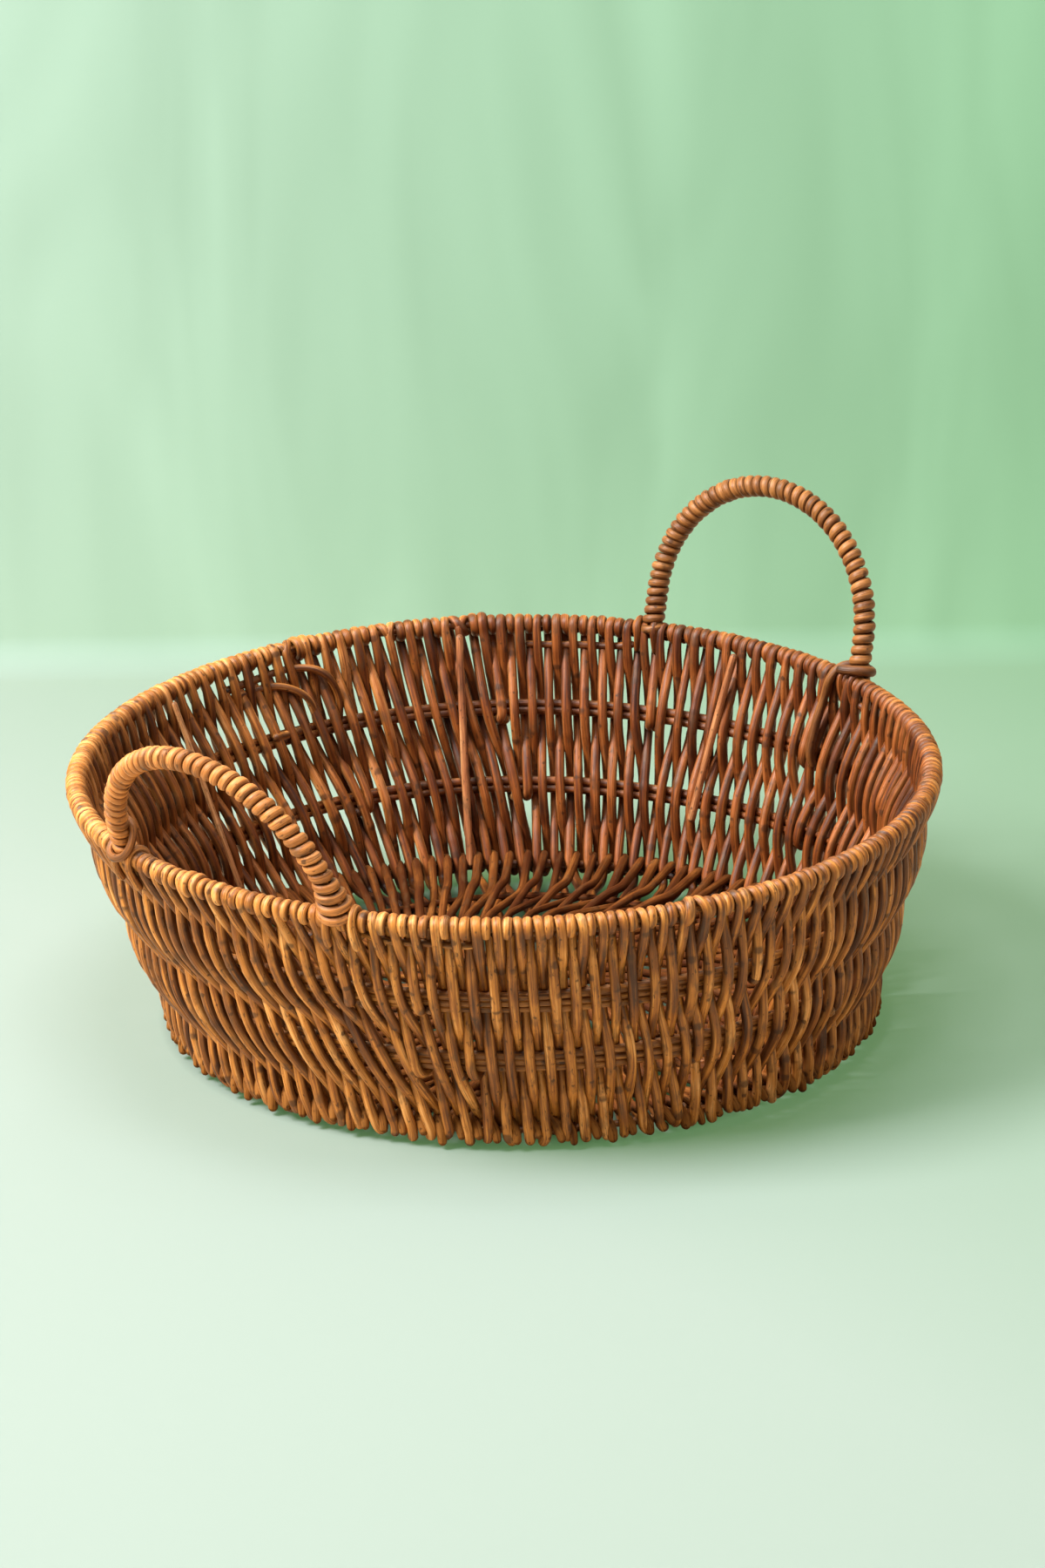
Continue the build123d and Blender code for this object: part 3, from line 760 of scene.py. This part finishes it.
def build_floor():
    for node, (hoops, places, sides) in SPOKE_KINDS.items():
        rods = []
        for rank in range(len(below_lower)):
            if rank % SPOKE_PATTERN in places:
                azimuth = base_angle(rank) + rng.normal(0, SPOKE_STRAY) / BASE_RADIUS
                half_pitch = base_angle(rank + 0.5) - base_angle(rank)
                half_pitch += rng.normal(0, SPOKE_STRAY) / BASE_RADIUS
                rods.append(floor_spoke(azimuth, half_pitch, hoops, sides))
        build_piece(f"woven_{node}", rods, shaded_floor_willow, [node])
    for name, (radius, height, rod) in zip(FLOOR_HOOP_NAMES, FLOOR_HOOPS):
        lapped_hoop(f"{name}_floor_hoop", radius, height - FLOOR_HOOP_DROP, 0.85 * rod, rng.uniform(0, 6),
                    lap=FLOOR_LAP / radius, material=shaded_floor_willow)
    angle = np.linspace(0, 2 * math.pi * COIL_TURNS, 60 * COIL_TURNS)
    radius = np.interp(angle, [0, angle[-1]], [FLOOR_ROD * 0.8, COIL_RADIUS])
    coil = grow(round_point(angle, radius, FLOOR_HEIGHT), FLOOR_ROD * 1.05, step=2 * MM, knots=6)
    build_piece("wound_floor_coil", [coil], shaded_floor_willow, ["floor_centre_coil"])


# --- handles ---
# How far up the leg from the rim rod's middle a handle's core starts.
CORE_START = 3.0 * MM


@dataclass
class Handle:
    """The leaning plane of a handle: u runs along the rim, v up the legs, w outward.

    Facing is 1 on the side of +x and -1 on the other. Arch is the radius of the core's arch and
    centre its middle as v, foot is how far out the feet stand, lean the plane's angle, aside its
    shift along the rim, and hand the way that the binding winds.
    """

    name: str
    facing: int
    arch: float
    foot: float
    lean: float
    centre: float
    aside: float = 0.0
    hand: int = 1

    def place(self, u, v, w=0.0):
        u, v, w = np.broadcast_arrays(u, v, w)
        out = self.foot + v * math.sin(self.lean) + w * math.cos(self.lean)
        up = RIM_HEIGHT + v * math.cos(self.lean) - w * math.sin(self.lean)
        across = u + self.aside
        return np.stack([self.facing * out, self.facing * across, up], axis=1)

    def axis(self, length):
        """u, v and the outward direction in the plane at lengths along the core rod."""
        leg = self.centre - CORE_START
        angle = np.clip((length - leg) / self.arch, 0, math.pi)
        below = np.minimum(length - leg, 0) + np.minimum(leg + math.pi * self.arch - length, 0)
        u, v = -self.arch * np.cos(angle), self.centre + self.arch * np.sin(angle) + below
        return u, v, -np.cos(angle), np.sin(angle)

    @property
    def length(self):
        return 2 * (self.centre - CORE_START) + math.pi * self.arch

    def along(self, points):
        """Direction of the core rod beside each point."""
        u = self.facing * points[:, 1] - self.aside
        out = self.facing * points[:, 0] - self.foot
        v = out * math.sin(self.lean) + (points[:, 2] - RIM_HEIGHT) * math.cos(self.lean)
        over = np.maximum(v - self.centre, 0)
        du, dv = over, -u
        size = np.sqrt(du**2 + dv**2)
        return self.place(du / size, dv / size) - self.place(np.zeros(len(u)), np.zeros(len(u)))


def read_handle(name):
    """A handle's plane from its core's box."""
    low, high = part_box(f"{name}_handle_core")
    facing = 1 if high[0] > 0 else -1
    arch = high[1] - HOOP_ROD
    foot = math.sqrt(RIM_RADIUS**2 - arch**2)
    top_out = max(abs(low[0]), abs(high[0])) - HOOP_ROD - foot
    top_up = high[2] - HOOP_ROD - RIM_HEIGHT
    return Handle(name, facing, arch, foot, math.atan2(top_out, top_up), math.hypot(top_out, top_up) - arch)


WRAP_DEPTH = 1.9 * MM
WRAP_RING = HOOP_ROD + SEAT + WRAP_DEPTH
TURN_STEPS = 20
# A strand's half width as a share of the pitch, and at most, and how pitch and ring vary.
STRAND_SHARE, WIDEST_STRAND = 0.485, 2.7 * MM
PITCH_SPREAD, RING_SPREAD = 0.035, 0.02


def wrap_line(handle, first, last, pitch, feet):
    """A strand wound around the core from one length along it to another.

    Pitch is a turn's length at the first foot, the top and the last foot. Each foot has the length
    over which the turns spread and drape, and how far they do.
    """
    places = [first]
    while places[-1] < last:
        share = places[-1] / handle.length
        places.append(places[-1] + np.interp(share, [0, 0.5, 1], pitch) * rng.normal(1, PITCH_SPREAD))
    count = np.arange(len(places))
    turn = np.arange(0, len(places) - 1, 1 / TURN_STEPS)
    length = np.interp(turn, count, places)
    phase = 2 * math.pi * turn * handle.hand
    spread, drape = np.zeros(len(turn)), np.zeros(len(turn))
    for from_foot, (reach, wide, low) in ((length, feet[0]), (handle.length - length, feet[1])):
        near = np.clip(1 - from_foot / reach, 0, 1)
        spread += near**1.3 * wide
        drape += near**2 * low
    u, v, out_u, out_v = handle.axis(length)
    ring = WRAP_RING * (1 + np.interp(turn, count, rng.normal(0, RING_SPREAD, len(places)))) + spread
    side = ring * np.cos(phase)
    v = v + out_v * side - drape * np.sin(phase) ** 2
    line = handle.place(u + out_u * side, v, ring * np.sin(phase))
    wide = np.interp(turn, count, np.gradient(places)) * STRAND_SHARE
    return line, np.minimum(wide, WIDEST_STRAND)


def build_handle(handle, material, pitch, feet, joint, past=0.0):
    """Builds the core and makes the binding's two strands, which meet at joint along the core."""
    u, v, _, _ = handle.axis(np.linspace(0, handle.length, 120))
    core = grow(handle.place(u, v), HOOP_ROD, step=4 * MM, knots=4)
    node = f"{handle.name}_handle_core"
    build_piece(f"bent_{node}", [core], material, [node])
    meet = joint * handle.length
    rods = []
    for first, last, tone in ((0, meet, 0.4), (meet, handle.length + past, 0.0)):
        line, wide = wrap_line(handle, first, last, pitch, feet)
        rods.append(grow(line, wide, WRAP_DEPTH, handle.along, tone, step=1.3 * MM, knots=10))
    return rods


def foot_azimuth(handle, end):
    """Azimuth of a foot: end -1 is where u is negative."""
    return math.atan2(handle.facing * end * handle.arch, handle.facing * handle.foot)


BOUND_TAPER = 0.85


def bound_rod(azimuth, knots, radius, tone=None):
    """A rod through points in mm: the way around, out of the rim's circle, and over the rim."""
    around, out, up = np.array(knots).T * MM
    points = round_point(azimuth + around / RIM_RADIUS, RIM_RADIUS + out, RIM_HEIGHT + up)
    line = spline(points, 10)
    size = np.interp(np.linspace(0, 1, len(line)), [0, 1], [radius, BOUND_TAPER * radius])
    return grow(line, size, tone=tone, step=2 * MM, knots=1)


# How far the saddles lie from the middle of a foot, in mm, and how thick they are.
WIDE_SADDLE = 6.2
SADDLES = {"right": (4.4, 1.9 * MM), "left": (WIDE_SADDLE, 2.1 * MM)}


def foot_saddles(handle, end, apart, radius):
    """Two rods that cross the rim on either side of a foot and lie down along the wall."""
    azimuth = foot_azimuth(handle, end)
    rods = []
    for side in (-1, 1):
        fan = side * rng.uniform(6, 8) * apart / WIDE_SADDLE
        foot = side * apart
        rods.append(bound_rod(azimuth, [
            (fan, 2.2, -12), (fan, 4.2, -8), (foot, 5.6, -3), (foot, 4.4, 4.0), (foot, 0, 5.8),
            (foot, -4.4, 3.8), (foot, -5.2, -3), (fan, -4.0, -9)], radius, 0.8))
    return rods


def foot_tail(handle, end):
    """The end of the wrap, tucked between the strands under the rim."""
    azimuth = foot_azimuth(handle, end)
    return bound_rod(azimuth, [
        (end * 8, -4, -7), (end * 14, -3, -8.6), (end * 24, -2.6, -9.6), (end * 38, -3.4, -9.4),
        (end * 52, -3.0, -10), (end * 62, -3.2, -9.6)], 1.9 * MM)


def build_handles():
    right, left = read_handle("right"), read_handle("left")
    right.aside, left.aside = -2.4 * MM, -2.0 * MM
    left.hand = -1
    plain, skirt = (6 * MM, 0.8 * MM, 1.5 * MM), (21 * MM, 4.3 * MM, 1.0 * MM)
    right_pitch, left_pitch = (5.2 * MM, 4.8 * MM, 4.5 * MM), (4.6 * MM, 4.9 * MM, 5.0 * MM)
    right_wrap = build_handle(right, shaded_wrap_willow, right_pitch, (plain, plain), 0.62)
    left_wrap = build_handle(left, wrap_willow, left_pitch, (plain, skirt), 0.45, past=-1.5 * MM)
    right_wrap.append(crossing_tail(right))
    left_wrap.append(loose_turn(left))
    for handle, wrap, material in ((right, right_wrap, shaded_wrap_willow), (left, left_wrap, wrap_willow)):
        name = f"{handle.name}_handle"
        build_piece(f"wound_{name}_wrap", wrap, material, [f"{name}_wrap"])
        saddles = [rod for end in (-1, 1) for rod in foot_saddles(handle, end, *SADDLES[handle.name])]
        build_piece(f"bent_{name}_saddles", saddles, wall_willow, [f"{name}_saddles"])
        tails = [foot_tail(handle, -1), foot_tail(handle, 1)]
        build_piece(f"laid_{name}_tails", tails, wall_willow, [f"{name}_tails"])


def loose_turn(handle):
    """A slack turn of the binding around the left handle's first foot."""
    u, w, v = np.array([(0, -5.5, 18), (5.5, -4, 17), (8.2, 1, 12), (5.5, 6.2, 6), (-1, 7.6, 3.5),
                        (-6.5, 4.5, 4), (-7.5, -1, 6)]).T * MM
    line = spline(handle.place(u - handle.arch, v, w), 10)
    return grow(line, 1.8 * MM, tone=-2.0, step=1.5 * MM, knots=1)


def crossing_tail(handle):
    """The binding's end at the right handle's first foot: out, over the rim and down the wall."""
    azimuth = foot_azimuth(handle, -1)
    return bound_rod(azimuth, [
        (1, -6.0, 8), (-5, -3, 8.5), (-9, 3, 8), (-6, 7.5, 6), (0, 5, 8), (5, -2, 8), (8, -8.0, 2),
        (10.5, -10.5, -8), (12.5, -15.5, -22), (13.5, -19.5, -36), (13, -18.5, -42)], 2.5 * MM, -0.8)


# --- loose rods ---
# Pale ends poked down the inside of the wall: azimuth and turn in degrees, how thick, how high the
# lower end is in mm, and the tone.
LINER_RODS = ((3.4, 4.5, 1.0, 40, -0.3), (45.9, 2.5, 1.0, 12, 0.2), (95.6, 0.3, 0.72, 28, 1.6))
# Rods packed under the rim: azimuth in degrees, and what bound_rod takes.
PACKING_RODS = (
    (67, [(56, -2.5, -11), (42, -3, -10), (24, -3.2, -8.5), (13, -6, -8), (5, -10.5, -9.5),
          (-1, -12.5, -15), (-5, -12.5, -26), (-4, -12.5, -38)], 2.1 * MM, 0.3),
    (69, [(46, -4.4, -15), (30, -4.6, -14.5), (20, -7.5, -14.5), (11, -12, -18), (5, -13.5, -25),
          (3, -13, -36)], 2.0 * MM, 0.3),
    (77.9, [(0, -17.5, -36.5), (-8, -16, -37.5), (-22, -14, -38)], 2.3 * MM, 1.2),
)


def build_loose_rods():
    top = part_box("liner_rods")[1][2]
    rods = []
    for azimuth, turn, thick, end, tone in LINER_RODS:
        height = np.linspace(top - 1 * MM, end * MM, 5)
        angle = np.radians(azimuth + np.linspace(0, turn, 5))
        clear = wall_radius(height) - (HOOP_ROD + 2 * STRAND_RADIUS + 0.6 * MM)
        line = spline(round_point(angle, clear, height), 10)
        rods.append(grow(line, thick * 1.9 * MM, tone=tone, step=3 * MM, knots=0.6))
    build_piece("poked_liner_rods", rods, pale_willow, ["liner_rods"])
    rods = [bound_rod(math.radians(azimuth), *rest) for azimuth, *rest in PACKING_RODS]
    build_piece("laid_rim_packing_rod", rods, wall_willow, ["rim_packing_rod"])


# --- camera, stage and light ---
# The photograph's view: turned from +x towards +y, looking down, and rolled.
VIEW_TURN, VIEW_TILT, VIEW_ROLL = math.radians(39.5), math.radians(22.88), math.radians(-0.79)
VIEW_DISTANCE = 3.2
LENS, SENSOR = 153.6, 36.0
# The camera aims this far right of the origin and above it, for each metre of distance.
AIM_RIGHT, AIM_UP = 0.0021, 0.0333
SKYWARD = Vector((0, 0, 1))
FORWARD = Vector((math.cos(VIEW_TURN) * math.cos(VIEW_TILT), math.sin(VIEW_TURN) * math.cos(VIEW_TILT),
                  -math.sin(VIEW_TILT)))
RIGHT = FORWARD.cross(SKYWARD).normalized()
UP = RIGHT.cross(FORWARD)
LEVEL = Vector((FORWARD.x, FORWARD.y, 0)).normalized()


def build_camera():
    aim = (FORWARD + RIGHT * AIM_RIGHT + UP * AIM_UP).normalized()
    level_right = aim.cross(SKYWARD).normalized()
    right = level_right * math.cos(VIEW_ROLL) + level_right.cross(aim) * math.sin(VIEW_ROLL)
    data = bpy.data.cameras.new("camera")
    data.lens = LENS
    data.sensor_width = SENSOR
    data.clip_end = 50
    camera = put("camera", data)
    axes = Matrix((right, right.cross(aim), -aim)).transposed().to_4x4()
    camera.matrix_world = Matrix.Translation(-FORWARD * VIEW_DISTANCE) @ axes
    bpy.context.scene.camera = camera


# How far behind the basket the sheet turns up, how wide its bend is, and how far it reaches.
BACKDROP_AWAY = 0.462
BACKDROP_BEND = 0.02
SHEET_REACH = 7.0
# The sheet's colour to the camera on the key lamp's side and away from it, and to everything else.
SHEET_LIT, SHEET_FAR = (0.286, 0.353, 0.370), (0.130, 0.252, 0.178)
SHEET_BOUNCE = (0.46, 0.42, 0.30)
# Painted light: what the sheet gives off to the camera, which lifts its shadows, and what its flat part's
# colour is multiplied by.
SHEET_GLOW = (0.090, 0.205, 0.075)
SHEET_FLAT = (0.70, 0.615, 0.63)
# Painted shadow: how bright the sheet is painted under the basket, and between which shares of the base's
# radius it clears.
BASKET_SHADOW, SHADE_IN, SHADE_OUT = 0.25, 0.90, 1.03
# The sheet turns to the sky's colour between these distances.
DISTANT_FROM, DISTANT_TO = 1.3, 4.0
SKY, BLACK = (0.66, 0.84, 0.67), (0.0, 0.0, 0.0)


def build_stage():
    """A pale mint sheet: flat under the basket, then straight up behind it, and floor behind that."""
    bend = [(BACKDROP_AWAY + BACKDROP_BEND * math.sin(t), BACKDROP_BEND * (1 - math.cos(t)))
            for t in np.linspace(0, math.pi / 2, 9)]
    profile = [(-SHEET_REACH, 0.0)] + bend + [(BACKDROP_AWAY + BACKDROP_BEND, SHEET_REACH)]
    behind = [(BACKDROP_AWAY, 0.0), (SHEET_REACH, 0.0)]
    corners = [LEVEL * away + RIGHT * side * SHEET_REACH + Vector((0, 0, up))
               for away, up in profile + behind for side in (-1, 1)]
    joined = [*range(len(profile) - 1), len(profile)]
    faces = [(2 * k, 2 * k + 1, 2 * k + 3, 2 * k + 2) for k in joined]
    mesh = bpy.data.meshes.new("studio_sheet")
    mesh.from_pydata(corners, [], faces)
    mesh.polygons.foreach_set("use_smooth", [True] * len(faces))
    mesh.materials.append(mint_sheet())
    put("studio_sheet", mesh)


def mint_sheet():
    """Mint to the camera, paler towards the light and painted with the shade of soft creases where it stands
    up.

    It is a dull tan to everything else, clear from behind, and the sky's colour far off.
    """
    material = bpy.data.materials.new("mint_sheet")
    tree = Tree(material)
    place = tree.node("NewGeometry", {}).outputs
    seen = tree.node("LightPath", {}).outputs["Is Camera Ray"]
    spot = place["Position"]
    from_lamp = {0: spot, 1: LEVEL * 0.70 + RIGHT}
    aside = tree.node("VectorMath", from_lamp, operation="DOT_PRODUCT").outputs["Value"]
    apart = tree.node("VectorMath", {0: spot}, operation="LENGTH").outputs["Value"]
    upward = tree.node("SeparateXYZ", {0: place["Normal"]}).outputs["Z"]
    upright = tree.ranged(upward, 0.0, 1.0, 1.0, 0.0)
    # Painted shade and light of soft creases in the sheet where it stands up.
    stretch = tree.node("Mapping", {"Vector": spot, "Scale": (11.0, 11.0, 2.6)})
    cloud = {"Vector": stretch.outputs[0], "Scale": 1.0, "Detail": 2.0, "Distortion": 0.8}
    crease_shade = tree.ranged(tree.node("TexNoise", cloud).outputs["Fac"], 0.3, 0.7, -0.14, 0.14)
    fold_shade = tree.math("MULTIPLY_ADD", crease_shade, upright, 1.0)
    clear = tree.ranged(apart, SHADE_IN * BASE_RADIUS, SHADE_OUT * BASE_RADIUS, BASKET_SHADOW, 1.0)
    distant = tree.ranged(apart, DISTANT_FROM, DISTANT_TO, 0.0, 1.0)
    mint = tree.mix(tree.ranged(aside, -0.15, 0.72, 0.0, 1.0), SHEET_LIT, SHEET_FAR)
    mint = tree.mix(1.0, mint, tree.math("MULTIPLY", clear, fold_shade), "MULTIPLY")
    mint = tree.mix(upward, mint, tree.mix(1.0, mint, SHEET_FLAT, "MULTIPLY"))
    mint = tree.mix(distant, mint, BLACK)
    principled = tree.nodes["Principled BSDF"]
    for socket, value in (("Base Color", tree.mix(seen, SHEET_BOUNCE, mint)), ("Roughness", 0.9),
                          ("Specular IOR Level", 0.1), ("Emission Color", tree.mix(distant, SHEET_GLOW, SKY)),
                          ("Emission Strength", tree.math("MULTIPLY", seen, clear))):
        tree.feed(principled.inputs[socket], value)
    see_through = tree.node("BsdfTransparent", {}).outputs[0]
    surface = tree.mix_shader(place["Backfacing"], principled.outputs[0], see_through)
    tree.feed(tree.nodes["Material Output"].inputs["Surface"], surface)
    return material


# Each lamp's place, size in metres, power and colour. All are aimed at the middle of the basket.
LAMPS = {
    "key": (-RIGHT * 1.89 - LEVEL * 0.63 + Vector((0, 0, 2.38)), 1.4, 242, (1.0, 0.97, 0.92)),
    "fill": (RIGHT * 1.8 - LEVEL * 1.6 + Vector((0, 0, 1.2)), 1.6, 11, (1.0, 0.98, 0.95)),
    "top": (-LEVEL * 0.1 + Vector((0, 0, 2.2)), 1.0, 36, (1.0, 0.99, 0.97)),
}
LAMP_TARGET = Vector((0, 0, 0.05))
AIR, AIR_STRENGTH = (0.90, 0.82, 0.68), 0.16


def build_light():
    for name, (place, size, power, colour) in LAMPS.items():
        data = bpy.data.lights.new(name, "AREA")
        data.energy = power
        data.size = size
        data.color = colour
        lamp = put(name, data)
        lamp.location = place
        lamp.rotation_euler = (LAMP_TARGET - place).to_track_quat("-Z", "Y").to_euler()
    world = bpy.data.worlds.new("studio")
    bpy.context.scene.world = world
    tree = Tree(world)
    air = tree.nodes["Background"]
    tree.feed(air.inputs["Color"], AIR)
    tree.feed(air.inputs["Strength"], AIR_STRENGTH)
    sky = tree.node("Background", {"Color": SKY})
    seen = tree.node("LightPath", {}).outputs["Is Camera Ray"]
    either = tree.mix_shader(seen, air.outputs[0], sky.outputs[0])
    tree.feed(tree.nodes["World Output"].inputs["Surface"], either)


bpy.context.scene.view_settings.view_transform = "Standard"
build_camera()
build_stage()
build_light()
build_wall()
build_hoops()
build_floor()
build_handles()
build_loose_rods()
